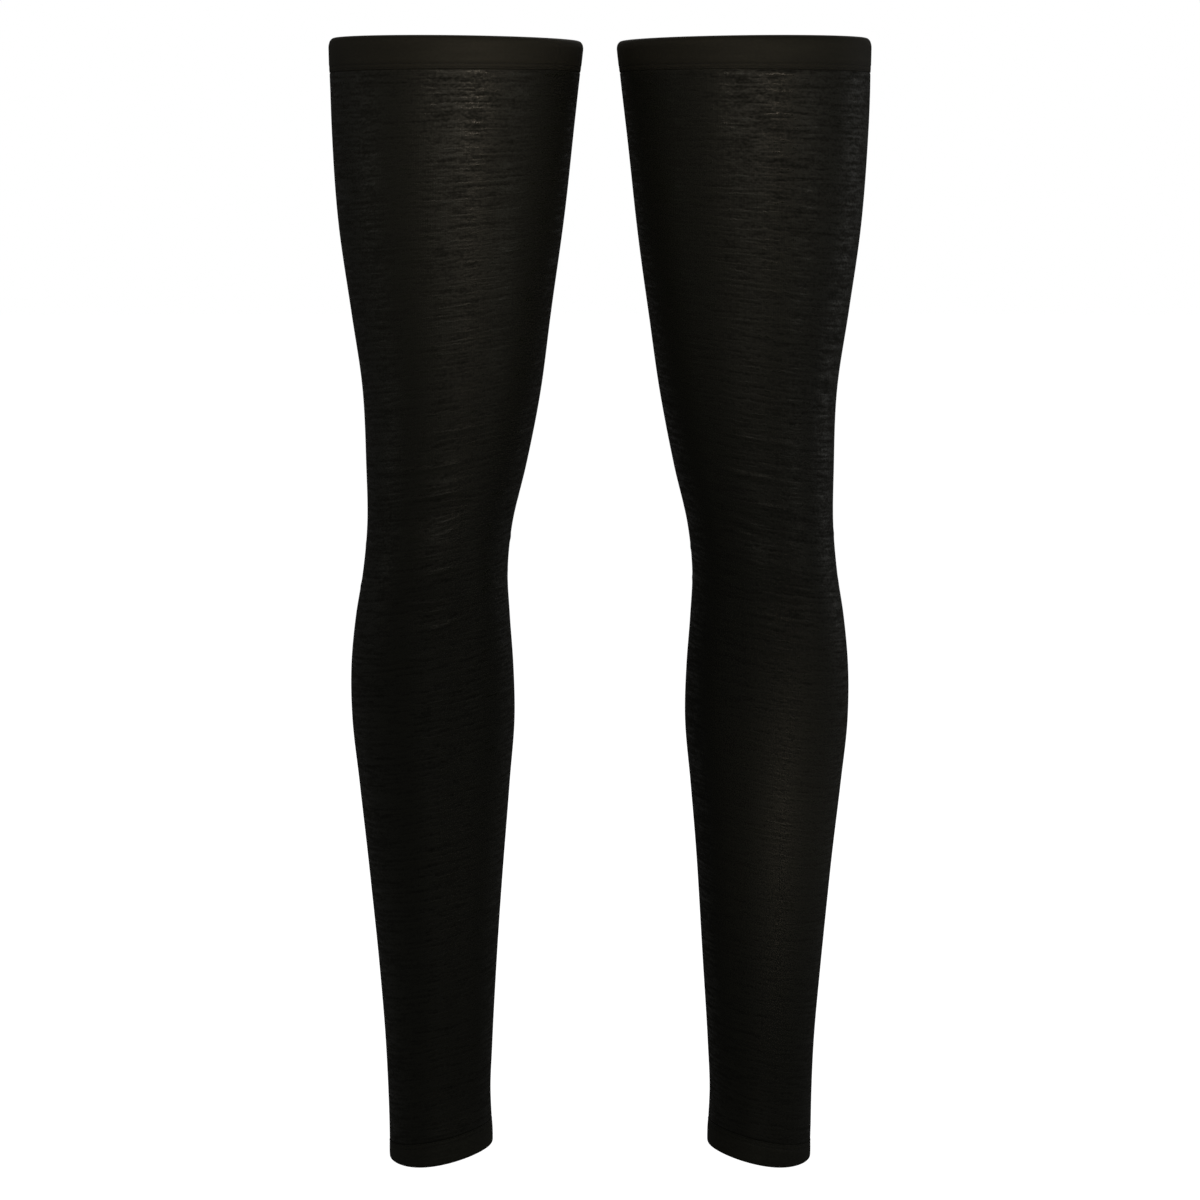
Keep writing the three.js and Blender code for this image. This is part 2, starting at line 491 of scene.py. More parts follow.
@dataclass(frozen=True)
class KnitFinish:
    """Fine single jersey of dyed wool.

    The eye gets a matt, near-black cloth whose yarn is uneven: thin lighter and darker streaks run along
    the courses, and the stitch columns show only as faint dots where the light falls.
    """

    name: str
    dark: str
    middle: str
    light: str
    gloss: str
    roughness: float
    roughness_swing: float
    sheen: float
    streak_share: float
    grain_share: float
    relief: float

    STREAK_LENGTH = 45.0  # mm along the course, for the thicker lengths of the yarn
    DASH_LENGTH = 11.0  # mm, for the lumps in it
    STREAK_WIDTH = 2.2  # mm, two or three courses
    STREAK_PART = 0.5  # how much of the pattern is long streaks, the rest dashes
    CLOUD_LENGTH = 80.0  # mm
    CLOUD_WIDTH = 6.0  # mm
    CLOUD_SHARE = 0.5
    # The real columns of stitches are about 0.8 mm apart, too fine to show, so they are drawn twice that.
    WALE = 1.6
    COLUMN_SHARE = 0.13  # how much of the relief the columns have
    GRAIN = 2.4  # mm, for groups of two or three stitches that catch the light

    def build(self) -> bpy.types.Material:
        """Makes the material.

        Returns:
            The material, which reads the piece's own UV map in metres.
        """
        material = new_material(self.name)
        tree = material.node_tree
        uv = add_node(tree, "ShaderNodeUVMap", uv_map=UV_NAME).outputs["UV"]
        wander = add_node(tree, "ShaderNodeTexNoise", {
            "Vector": self.scaled(tree, uv, 90.0, 40.0), "Scale": 1.0, "Detail": 1.0,
        }, noise_dimensions="2D").outputs["Fac"]
        # The courses wave a little, by up to about 0.5 mm.
        lift = self.maths(tree, "MULTIPLY_ADD", wander, 0.002, -0.001)
        apart = add_node(tree, "ShaderNodeCombineXYZ", {"Y": lift}).outputs["Vector"]
        waved = add_node(tree, "ShaderNodeVectorMath", {0: uv, 1: apart}, operation="ADD").outputs["Vector"]
        long_streak = self.noise(tree, waved, self.STREAK_LENGTH, self.STREAK_WIDTH, 1.0)
        dash = self.noise(tree, waved, self.DASH_LENGTH, self.STREAK_WIDTH * 1.1, 1.0)
        long_part = self.maths(tree, "MULTIPLY", long_streak, self.STREAK_PART, 0.0)
        streak = self.maths(tree, "MULTIPLY_ADD", dash, 1 - self.STREAK_PART, long_part)
        cloud = self.noise(tree, waved, self.CLOUD_LENGTH, self.CLOUD_WIDTH, 2.0)
        grain = self.noise(tree, waved, self.GRAIN, self.GRAIN * 0.6, 1.0)
        across = add_node(tree, "ShaderNodeSeparateXYZ", {0: uv}).outputs["X"]
        phase = self.maths(tree, "MULTIPLY", across, 2 * math.pi / (self.WALE * MM), 0.0)
        wale = self.maths(tree, "SINE", phase, 0.0, 0.0)
        columns = self.maths(tree, "MULTIPLY", wale, grain, 0.0)

        level = self.maths(tree, "MULTIPLY_ADD", streak, self.streak_share, 0.5 - 0.5 * self.streak_share)
        for pattern, share in ((cloud, self.CLOUD_SHARE), (grain, self.grain_share)):
            swing = self.maths(tree, "MULTIPLY_ADD", pattern, share, -0.5 * share)
            level = self.maths(tree, "ADD", level, swing, 0.0)
        ramp = add_node(tree, "ShaderNodeValToRGB", {"Fac": level})
        ramp.color_ramp.elements[0].position = 0.22
        ramp.color_ramp.elements[0].color = srgb(self.dark)
        ramp.color_ramp.elements[1].position = 0.82
        ramp.color_ramp.elements[1].color = srgb(self.light)
        ramp.color_ramp.elements.new(0.5).color = srgb(self.middle)

        roughness = self.maths(
            tree, "MULTIPLY_ADD", level, -self.roughness_swing, self.roughness + 0.5 * self.roughness_swing
        )
        faint_columns = self.maths(tree, "MULTIPLY", columns, self.COLUMN_SHARE, 0.0)
        stitches = self.maths(tree, "MULTIPLY_ADD", grain, 0.5, faint_columns)
        height = self.maths(tree, "MULTIPLY_ADD", streak, self.streak_share, stitches)
        bump = add_node(tree, "ShaderNodeBump", {
            "Height": height, "Strength": 1.0, "Distance": self.relief * MM,
        })
        shader = add_node(tree, "ShaderNodeBsdfPrincipled", {
            "Base Color": ramp.outputs["Color"], "Roughness": roughness, "Normal": bump.outputs["Normal"],
            "Specular Tint": srgb(self.gloss), "Sheen Weight": self.sheen, "Sheen Roughness": 0.45,
            "Sheen Tint": srgb("#8a8478"),
        })
        add_node(tree, "ShaderNodeOutputMaterial", {"Surface": shader.outputs["BSDF"]})
        return material

    def scaled(self, tree: bpy.types.NodeTree, vector: bpy.types.NodeSocket, along: float,
               across: float) -> bpy.types.NodeSocket:
        """Turns the cloth's coordinates into units of one pattern repeat.

        Args:
            tree: the node tree.
            vector: the coordinates in metres.
            along: the repeat along the courses in millimetres.
            across: the repeat across them.

        Returns:
            The scaled coordinates.
        """
        node = add_node(tree, "ShaderNodeMapping", {
            "Vector": vector, "Scale": (1 / (along * MM), 1 / (across * MM), 1.0),
        })
        return node.outputs["Vector"]

    def noise(self, tree: bpy.types.NodeTree, vector: bpy.types.NodeSocket, along: float, across: float,
              detail: float) -> bpy.types.NodeSocket:
        """Adds soft noise.

        Args:
            tree: the node tree.
            vector: the coordinates in metres.
            along: length of its features along the courses in millimetres.
            across: their width.
            detail: how many finer layers it has.

        Returns:
            The noise, between nothing and one.
        """
        node = add_node(tree, "ShaderNodeTexNoise", {
            "Vector": self.scaled(tree, vector, along, across), "Scale": 1.0, "Detail": detail,
        }, noise_dimensions="2D")
        return node.outputs["Fac"]

    def maths(self, tree: bpy.types.NodeTree, operation: str, first: object, second: object,
              third: object) -> bpy.types.NodeSocket:
        """One sum on up to three values or sockets."""
        node = add_node(tree, "ShaderNodeMath", {0: first, 1: second, 2: third}, operation=operation)
        return node.outputs[0]


@dataclass(frozen=True)
class ThreadFinish:
    """Spun polyester sewing thread, dyed black: smoother than the wool, with a faint gloss along it."""

    name: str
    colour: str
    light: str
    roughness: float

    PLY = 0.9  # mm between the turns of the twist, drawn a little coarser than the real 0.5 mm

    def build(self) -> bpy.types.Material:
        """Makes the material.

        Returns:
            The material, with its twist in object coordinates.
        """
        material = new_material(self.name)
        tree = material.node_tree
        place = add_node(tree, "ShaderNodeTexCoord").outputs["Object"]
        twist = add_node(tree, "ShaderNodeTexNoise", {"Vector": place, "Scale": 1 / (self.PLY * MM)})
        ramp = add_node(tree, "ShaderNodeValToRGB", {"Fac": twist.outputs["Fac"]})
        ramp.color_ramp.elements[0].position = 0.3
        ramp.color_ramp.elements[0].color = srgb(self.colour)
        ramp.color_ramp.elements[1].position = 0.7
        ramp.color_ramp.elements[1].color = srgb(self.light)
        bump = add_node(tree, "ShaderNodeBump", {
            "Height": twist.outputs["Fac"], "Strength": 0.5, "Distance": 0.1 * MM,
        })
        shader = add_node(tree, "ShaderNodeBsdfPrincipled", {
            "Base Color": ramp.outputs["Color"], "Roughness": self.roughness,
            "Normal": bump.outputs["Normal"],
        })
        add_node(tree, "ShaderNodeOutputMaterial", {"Surface": shader.outputs["BSDF"]})
        return material


@dataclass(frozen=True)
class ElasticFinish:
    """Woven flat elastic, hidden between the two layers of the band: black, ribbed along its width."""

    name: str = "woven_flat_elastic"
    colour: str = "#151412"

    RIB = 1.5  # mm between ribs

    def build(self) -> bpy.types.Material:
        """Makes the material.

        Returns:
            The material, with its ribs on the piece's own UV map.
        """
        material = new_material(self.name)
        tree = material.node_tree
        uv = add_node(tree, "ShaderNodeUVMap", uv_map=UV_NAME).outputs["UV"]
        ribs = add_node(tree, "ShaderNodeTexWave", {
            "Vector": uv, "Scale": 1 / (20 * self.RIB * MM) * 2 * math.pi, "Distortion": 0.0,
        }, bands_direction="Y")
        bump = add_node(tree, "ShaderNodeBump", {
            "Height": ribs.outputs["Fac"], "Strength": 0.6, "Distance": 0.2 * MM,
        })
        shader = add_node(tree, "ShaderNodeBsdfPrincipled", {
            "Base Color": srgb(self.colour), "Roughness": 0.7, "Normal": bump.outputs["Normal"],
        })
        add_node(tree, "ShaderNodeOutputMaterial", {"Surface": shader.outputs["BSDF"]})
        return material


@dataclass(frozen=True)
class Finishes:
    """The materials of the pair, each made once."""

    jersey: bpy.types.Material
    band: bpy.types.Material
    hem: bpy.types.Material
    seam: bpy.types.Material
    thread: bpy.types.Material
    elastic: bpy.types.Material

    @classmethod
    def make(cls) -> "Finishes":
        """Builds every finish.

        Returns:
            The finishes.
        """
        return cls(
            jersey=KnitFinish(
                name="fine_wool_single_jersey", dark="#1a1b16", middle="#20211b", light="#272821",
                gloss="#fff9ea", roughness=0.57, roughness_swing=0.54, sheen=0.05, streak_share=2.3,
                grain_share=1.2, relief=0.14,
            ).build(),
            band=KnitFinish(
                name="double_wool_jersey_over_elastic", dark="#26241d", middle="#2b2921", light="#312e25",
                gloss="#fffbe6", roughness=0.66, roughness_swing=0.1, sheen=0.06, streak_share=0.5,
                grain_share=0.5, relief=0.07,
            ).build(),
            # The hem's colours are lighter than the jersey's. Part of that is the turned-up double cloth,
            # and part is painted light that stands in for the light the pale floor throws up onto the
            # ankle.
            hem=KnitFinish(
                name="double_wool_jersey_turned_up_with_painted_floor_light", dark="#22221c", middle="#292922", light="#313129",
                gloss="#fffbe6", roughness=0.66, roughness_swing=0.15, sheen=0.08, streak_share=0.7,
                grain_share=0.7, relief=0.12,
            ).build(),
            seam=KnitFinish(
                name="jersey_pressed_in_a_flat_seam", dark="#191a16", middle="#1f201b", light="#262721",
                gloss="#fff9ea", roughness=0.66, roughness_swing=0.1, sheen=0.05, streak_share=0.8,
                grain_share=0.6, relief=0.12,
            ).build(),
            thread=ThreadFinish(
                name="black_polyester_thread", colour="#171613", light="#2b2924", roughness=0.48,
            ).build(),
            elastic=ElasticFinish().build(),
        )


def softened(line: list[tuple[float, float]], steps: int) -> np.ndarray:
    """Draws a smooth line through the points of a profile.

    Args:
        line: points, as level and inset.
        steps: how many steps each span is cut into.

    Returns:
        The finer profile.
    """
    points = np.array(line, float)
    padded = np.vstack([2 * points[0] - points[1], points, 2 * points[-1] - points[-2]])
    finer = []
    for i in range(1, len(padded) - 2):
        before, start, end, after = padded[i - 1 : i + 3]
        for t in np.arange(steps) / steps:
            finer.append(0.5 * (
                2 * start + (end - before) * t + (2 * before - 5 * start + 4 * end - after) * t**2
                + (3 * start - before - 3 * end + after) * t**3
            ))
    finer.append(points[-1])
    return np.array(finer)


@dataclass
class ClothTube:
    """A tube of one layer of cloth, spun straight from its profile and then moved to its leg."""

    name: str
    leg: Leg
    profile: np.ndarray
    thickness: float = CLOTH
    offset: float = -1.0  # -1 lays the wall inside the profile, 0 to both sides of it
    columns: int = 160
    outer_lift: float = 0.0  # how far the lowest edge is rounded upwards at the leg's outer side

    STRAIGHT_RADIUS = 100.0
    LIFT_HEIGHT = 13.0  # above this height the edge's rounding has no effect

    def build(self) -> bpy.types.Object:
        """Makes the tube.

        Returns:
            The object, its wall made by a Solidify modifier and its cloth coordinates in its UV map.
        """
        bm = bmesh.new()
        outline = [
            bm.verts.new((0.0, self.STRAIGHT_RADIUS - inset, level)) for level, inset in self.profile
        ]
        for low, high in zip(outline, outline[1:]):
            bm.edges.new((low, high))
        bmesh.ops.spin(
            bm, geom=bm.verts[:] + bm.edges[:], cent=(0, 0, 0), axis=(0, 0, 1), angle=2 * math.pi,
            steps=self.columns, use_merge=True,
        )
        bmesh.ops.remove_doubles(bm, verts=bm.verts[:], dist=1e-4)
        bmesh.ops.recalc_face_normals(bm, faces=bm.faces[:])
        obj = new_object(self.name, bm)
        self.settle(obj.data)
        wall = obj.modifiers.new("one_layer_of_cloth", "SOLIDIFY")
        wall.thickness = self.thickness * MM
        wall.offset = self.offset
        wall.use_even_offset = True
        return obj

    def settle(self, mesh: bpy.types.Mesh) -> None:
        """Moves the straight tube's points to the leg and writes the cloth's coordinates.

        Args:
            mesh: the straight tube, round the Z axis.
        """
        points = np.empty(len(mesh.vertices) * 3, np.float32)
        mesh.vertices.foreach_get("co", points)
        points = points.reshape(-1, 3).astype(float)
        side = self.leg.side
        turn = np.arctan2(points[:, 1], side * points[:, 0])
        level = points[:, 2]
        inset = self.STRAIGHT_RADIUS - np.hypot(points[:, 0], points[:, 1])
        lift = self.outer_lift * np.exp(-(turn**2)) * np.clip(1.0 - level / self.LIFT_HEIGHT, 0.0, 1.0)
        placed = on_leg(self.leg, level + lift, turn, inset)
        corners = np.empty(len(mesh.loops), np.int32)
        mesh.loops.foreach_get("vertex_index", corners)
        spin = turn - FRONT
        faces = corners.reshape(-1, 4)
        middle = np.arctan2(np.sin(spin[faces]).sum(1), np.cos(spin[faces]).sum(1))
        away = middle[:, None] + wrapped(spin[faces] - middle[:, None])
        away = np.clip(away, -math.pi, math.pi).ravel()
        uv = np.empty((len(corners), 2))
        uv[:, 0] = side * FORM.arc(level[corners], FRONT + away) * MM
        uv[:, 1] = (level[corners] + inset[corners] * 0.5) * MM
        uv[:, 0] += 2.0 if self.leg is Leg.RIGHT else 0.0  # so that the two legs don't share their streaks
        mesh.vertices.foreach_set("co", placed.astype(np.float32).ravel())
        layer = mesh.uv_layers.new(name=UV_NAME)
        layer.data.foreach_set("uv", uv.astype(np.float32).ravel())
        mesh.update()
        if self.faces_inwards(mesh):
            mesh.flip_normals()

    def faces_inwards(self, mesh: bpy.types.Mesh) -> bool:
        """Whether the first face of the outside looks towards the leg's middle line."""
        face = max(mesh.polygons, key=lambda polygon: polygon.center.x)
        return face.normal.x < 0


@dataclass
class Sewing:
    """Rows of thread on a leg, each stitch a short capsule laid along the cloth."""

    leg: Leg
    thickness: float = 0.42
    sides: int = 6
    rings: int = 4

    def stitches(self, start: np.ndarray, end: np.ndarray, outer: np.ndarray) -> np.ndarray:
        """Works out where each capsule lies.

        Args:
            start: one end of each stitch, in metres.
            end: the other end.
            outer: a point straight out of the cloth from each start.

        Returns:
            One 4 by 4 matrix for each stitch, which takes a ball of radius 1 to the capsule.
        """
        along = end - start
        length = np.linalg.norm(along, axis=1, keepdims=True)
        along = along / length
        across = np.cross(along, outer - start)
        across = across / np.linalg.norm(across, axis=1, keepdims=True)
        up = np.cross(across, along)
        radius = self.thickness * MM / 2
        places = np.zeros((len(start), 4, 4))
        places[:, :3, 0] = across * radius
        places[:, :3, 1] = -up * radius * 0.85
        places[:, :3, 2] = along * length / 2
        places[:, :3, 3] = (start + end) / 2
        places[:, 3, 3] = 1
        return places

    def row(self, levels: np.ndarray, turns: np.ndarray, inset: float, cover: float) -> np.ndarray:
        """Lays one row of stitches through a list of needle holes.

        Args:
            levels: the course of each hole.
            turns: the bearing of each hole.
            inset: depth of the thread's middle below the outside.
            cover: the share of each step that the thread covers.

        Returns:
            The stitches' matrices.
        """
        holes = on_leg(self.leg, levels, turns, inset)
        outer = on_leg(self.leg, levels, turns, inset - 1)
        step = np.diff(holes, axis=0) * (1 - cover) / 2
        return self.stitches(holes[:-1] + step, holes[1:] - step, outer[:-1])

    def zigzag(self, low: np.ndarray, high: np.ndarray, turns_low: np.ndarray, turns_high: np.ndarray,
               inset: float) -> np.ndarray:
        """Lays the looper thread that runs to and fro between two rows.

        Args:
            low: courses of the first row's holes.
            high: courses of the second row's holes.
            turns_low: bearings of the first row's holes.
            turns_high: bearings of the second row's holes.
            inset: depth of the thread's middle below the outside.

        Returns:
            The stitches' matrices.
        """
        first = on_leg(self.leg, low, turns_low, inset)
        second = on_leg(self.leg, high, turns_high, inset)
        outer = on_leg(self.leg, low, turns_low, inset - 1)
        outer_second = on_leg(self.leg, high, turns_high, inset - 1)
        there = self.stitches(first[:-1], second[:-1], outer[:-1])
        back = self.stitches(second[:-1], first[1:], outer_second[:-1])
        return np.concatenate([there, back])

    def join(self, name: str, rows: list[np.ndarray]) -> bpy.types.Object:
        """Makes one object of many stitches, by doubling one capsule until there are enough.

        Args:
            name: the object's name.
            rows: the stitches' matrices, row by row.

        Returns:
            The object.
        """
        places = np.concatenate(rows)
        first = bmesh.new()
        bmesh.ops.create_uvsphere(first, u_segments=self.sides, v_segments=self.rings, radius=1.0)
        capsule = bpy.data.meshes.new(f"{name}_capsule")
        first.to_mesh(capsule)
        first.free()
        # Read back from a mesh, the capsule's points have no gaps in their order, so its copies keep it.
        bm = bmesh.new()
        bm.from_mesh(capsule)
        bpy.data.meshes.remove(capsule)
        points_each = len(bm.verts)
        while len(bm.verts) < points_each * len(places):
            bmesh.ops.duplicate(bm, geom=bm.verts[:] + bm.edges[:] + bm.faces[:])
        bmesh.ops.delete(bm, geom=bm.verts[points_each * len(places):], context="VERTS")
        obj = new_object(name, bm)
        ball = np.empty(len(obj.data.vertices) * 3, np.float32)
        obj.data.vertices.foreach_get("co", ball)
        ball = ball.reshape(len(places), points_each, 3)
        ball = np.append(ball, np.ones((len(places), points_each, 1)), axis=2)
        laid = np.einsum("sij,spj->spi", places, ball)[..., :3]
        obj.data.vertices.foreach_set("co", laid.astype(np.float32).ravel())
        obj.data.update()
        return obj


@dataclass
class LegWarmer:
    """One leg warmer: its jersey panel, thigh band, ankle hem, back seam and thread."""

    leg: Leg
    finishes: Finishes
    stitch: float = 2.5  # length of one stitch
    thread_on_cloth: float = -0.08  # depth of a thread's middle, just above the cloth
    seam_half_width: float = 2.4
    seam_proud: float = 0.42  # half the thickness of the seam's ridge
    stretch: float = 0.88  # the cut's share of the measure round the leg, because jersey is worn stretched
    band_strip: float = 0.045  # metres, depth of the band's strip before it is folded
    hem_strip: float = 0.035  # metres, depth of the hem's cloth before it is turned up

    # (from, to, steps): the rows lie closest at the knee's creases
    ROW_SPANS = ((HEM_SEAM + 1.6, 330.0, 92), (330.0, 505.0, 132), (505.0, BAND_SEAM - 1.6, 64))

    # Where the jersey's two edges are tucked between the hem's and the band's layers: height above the
    # seam and inset.
    HEM_TUCK = ((-1.2, 0.64), (-0.2, 0.6), (0.35, 0.3), (0.9, 0.06))
    BAND_TUCK = ((-0.9, 0.05), (-0.3, 0.3), (0.25, 0.64), (1.5, 0.72), (3.0, 0.72))

    # Middle line of the band's folded cloth: height above the seam and inset, from the lower edge outside,
    # over the fold, to the lower edge inside. It dips at the two needle rows.
    BAND_LINE = (
        (0.05, 0.2), (1.0, 0.3), (2.1, 0.12), (3.3, 0.28), (4.6, 0.02), (8.0, 0.0), (10.2, -0.02),
        (12.5, 0.0), (15.5, 0.02), (17.2, 0.3), (18.7, 0.85), (19.9, 1.75), (20.6, 2.9), (20.2, 3.9),
        (18.6, 3.7), (16.6, 2.6), (14.5, 2.15), (10.0, 2.05), (5.0, 2.05), (3.3, 1.9), (1.0, 1.7),
        (-1.2, 1.6),
    )
    BAND_NEEDLES = (1.0, 3.3)

    # Middle line of the hem's turned-up cloth: height above the ankle edge and inset.
    HEM_LINE = (
        (17.5, 0.24), (16.7, 0.32), (15.5, 0.18), (14.3, 0.28), (13.0, 0.12), (9.0, 0.08), (4.0, 0.12),
        (1.7, 0.25), (0.65, 0.65), (0.34, 1.15), (0.7, 1.6), (2.0, 1.6), (4.5, 1.45), (9.0, 1.45),
        (14.3, 1.55), (16.7, 1.6), (18.9, 1.6),
    )
    HEM_NEEDLES = (14.3, 16.7)

    # The flat elastic between the band's two layers
    ELASTIC_LINE = ((4.6, 1.05), (6.0, 1.02), (15.0, 1.05), (16.4, 1.5))

    def build(self) -> list[bpy.types.Object]:
        """Builds and dresses every piece of this leg warmer.

        Returns:
            The pieces.
        """
        panel = self.panel()
        band = self.band()
        elastic = self.elastic()
        hem = self.hem()
        seam = self.back_seam()
        seam_thread = self.back_seam_thread()
        band_thread = self.edge_thread("band_stitches", BAND_SEAM, self.BAND_NEEDLES, 2.25)
        hem_thread = self.edge_thread("hem_stitches", 0.0, self.HEM_NEEDLES, 2.0)
        return [panel, band, elastic, hem, seam, seam_thread, band_thread, hem_thread]

    def named(self, piece: str) -> str:
        """The name of a piece of this leg."""
        return f"{self.leg.value}_{piece}"

    def dress(self, obj: bpy.types.Object, material: bpy.types.Material) -> bpy.types.Object:
        """Gives a piece its finish and its body.

        Args:
            obj: the piece.
            material: its finish.

        Returns:
            The piece.
        """
        obj.data.materials.append(material)
        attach(obj, "root")
        return obj

    def panel(self) -> bpy.types.Object:
        """The jersey tube."""
        profile = [(HEM_SEAM + height, inset) for height, inset in self.HEM_TUCK]
        profile.append((self.ROW_SPANS[0][0], 0.0))
        for start, end, steps in self.ROW_SPANS:
            profile.extend((level, 0.0) for level in np.linspace(start, end, steps + 1)[1:])
        profile.extend((BAND_SEAM + height, inset) for height, inset in self.BAND_TUCK)
        obj = ClothTube(self.named("jersey"), self.leg, np.array(profile)).build()
        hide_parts(self.named("leg_panel"))
        return self.dress(obj, self.finishes.jersey)

    def band(self) -> bpy.types.Object:
        """The band's cloth, folded double over its elastic."""
        profile = softened([(BAND_SEAM + height, inset) for height, inset in self.BAND_LINE], 3)
        obj = ClothTube(self.named("band_cloth"), self.leg, profile, offset=0.0).build()
        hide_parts(self.named("thigh_band"))
        return self.dress(obj, self.finishes.band)

    def elastic(self) -> bpy.types.Object:
        """The flat elastic inside the band."""
        profile = softened([(BAND_SEAM + height, inset) for height, inset in self.ELASTIC_LINE], 3)
        obj = ClothTube(self.named("band_elastic"), self.leg, profile, thickness=0.9, offset=0.0).build()
        return self.dress(obj, self.finishes.elastic)

    def hem(self) -> bpy.types.Object:
        """The ankle hem's cloth, turned up inside."""
        profile = softened(list(self.HEM_LINE), 3)
        obj = ClothTube(self.named("hem_cloth"), self.leg, profile, offset=0.0, outer_lift=4.8).build()
        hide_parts(self.named("ankle_hem"))
        return self.dress(obj, self.finishes.hem)

    def back_seam(self) -> bpy.types.Object:
        """The flat seam's low ridge down the middle of the back, drawn out of one oval."""
        start = 0.9
        end = BAND_SEAM - SEAM_GAP
        steps = 300
        bm = bmesh.new()
        oval = bmesh.ops.create_circle(bm, cap_ends=True, segments=12, radius=1.0)["verts"]
        bmesh.ops.scale(bm, verts=oval, vec=(self.seam_half_width, self.seam_proud, 1.0))
        bmesh.ops.spin(
            bm, geom=oval + bm.edges[:] + bm.faces[:], cent=(0, 0, 0), axis=(0, 0, 1),
            dvec=(0, 0, (end - start) / steps), angle=0.0, steps=steps,
        )
        bmesh.ops.remove_doubles(bm, verts=bm.verts[:], dist=1e-4)
        obj = new_object(self.named("back_seam"), bm)
        mesh = obj.data
        points = np.empty(len(mesh.vertices) * 3, np.float32)
        mesh.vertices.foreach_get("co", points)
        points = points.reshape(-1, 3).astype(float)
        level = start + points[:, 2]
        turn = BACK + points[:, 0] / FORM.round_at(level) * 2 * math.pi
        inset = 0.12 - points[:, 1]
        mesh.vertices.foreach_set("co", on_leg(self.leg, level, turn, inset).astype(np.float32).ravel())
        corners = np.empty(len(mesh.loops), np.int32)
        mesh.loops.foreach_get("vertex_index", corners)
        layer = mesh.uv_layers.new(name=UV_NAME)
        uv = np.stack([points[corners, 0], level[corners]], 1) * MM
        layer.data.foreach_set("uv", uv.astype(np.float32).ravel())
        repaired = bmesh.new()
        repaired.from_mesh(mesh)
        bmesh.ops.recalc_face_normals(repaired, faces=repaired.faces[:])
        repaired.to_mesh(mesh)
        repaired.free()
        return self.dress(obj, self.finishes.seam)

    def back_seam_thread(self) -> bpy.types.Object:
        """The flat seam's needle rows, outside and inside, and the threads that cross between them."""
        sewing = Sewing(self.leg)
        levels = np.arange(1.5, BAND_SEAM - 1, self.stitch)
        half = (self.seam_half_width - 0.5) / FORM.round_at(levels) * 2 * math.pi
        outside = -self.seam_proud
        inside = CLOTH + 0.1
        cover = 0.86
        rows = [
            sewing.row(levels, BACK - half, outside + 0.12, cover),
            sewing.row(levels, BACK + half, outside + 0.12, cover),
            sewing.row(levels, BACK - half, inside, cover),
            sewing.row(levels, BACK + half, inside, cover),
            sewing.zigzag(levels, levels + self.stitch / 2, BACK - half, BACK + half, outside),
        ]
        obj = sewing.join(self.named("back_seam_thread"), rows)
        return self.dress(obj, self.finishes.thread)

    def edge_thread(self, piece: str, base: float, needles: tuple[float, float],
                    inside: float) -> bpy.types.Object:
        """The twin-needle rows round an edge, with the looper thread inside.

        Args:
            piece: the name of the piece.
            base: the level that the needles' heights are measured from.
            needles: heights of the two rows.
            inside: depth of the looper thread's middle.

        Returns:
            The thread of one edge.
        """
        sewing = Sewing(self.leg)
        low = base + needles[0]
        high = base + needles[1]
        count = round(float(FORM.round_at(np.array(low))) / self.stitch)
        turns = BACK + np.linspace(0, 2 * math.pi, count + 1)
        half_step = math.pi / count
        level_low = np.full(len(turns), low)
        level_high = np.full(len(turns), high)
        rows = [
            sewing.row(level_low, turns, self.thread_on_cloth, 0.8),
            sewing.row(level_high, turns + half_step, self.thread_on_cloth, 0.8),
            sewing.zigzag(level_low, level_high, turns, turns + half_step, inside),
        ]
        obj = sewing.join(self.named(piece), rows)
        return self.dress(obj, self.finishes.thread)


@dataclass(frozen=True)
class SoftBox:
    """A plain rectangular studio light."""

    name: str
    place: tuple[float, float, float]
    aim: tuple[float, float, float]
    size: tuple[float, float]
    watts: float
    colour: str = "#ffffff"

    def build(self) -> bpy.types.Object:
        """Adds the light and turns it to its aim.

        Returns:
            The light.
        """
        data = bpy.data.lights.new(self.name, "AREA")
        data.shape = "RECTANGLE"
        data.size, data.size_y = self.size
        data.energy = self.watts
        data.color = srgb(self.colour)[:3]
        return aimed(bpy.data.objects.new(self.name, data), self.place, self.aim)


@dataclass(frozen=True)
class SoftSpot:
    """A round studio light with a soft edge, which lights one part of the object more."""

    name: str
    place: tuple[float, float, float]
    aim: tuple[float, float, float]
    cone: float  # degrees across
    radius: float
    watts: float
    colour: str = "#fff2e6"

    def build(self) -> bpy.types.Object:
        """Adds the light and turns it to its aim.

        Returns:
            The light.
        """
        data = bpy.data.lights.new(self.name, "SPOT")
        data.spot_size = math.radians(self.cone)
        data.spot_blend = 1.0
        data.shadow_soft_size = self.radius
        data.energy = self.watts
        data.color = srgb(self.colour)[:3]
        return aimed(bpy.data.objects.new(self.name, data), self.place, self.aim)


def aimed(obj: bpy.types.Object, place: tuple[float, float, float],
          aim: tuple[float, float, float]) -> bpy.types.Object:
    """Links a light or camera at a place, looking at its aim.

    Args:
        obj: the light or camera.
        place: where it stands, in metres.
        aim: the point that it looks at.

    Returns:
        The same object.
    """
    bpy.context.scene.collection.objects.link(obj)
    obj.location = place
    obj.rotation_euler = (Vector(aim) - Vector(place)).to_track_quat("-Z", "Y").to_euler()
    return obj


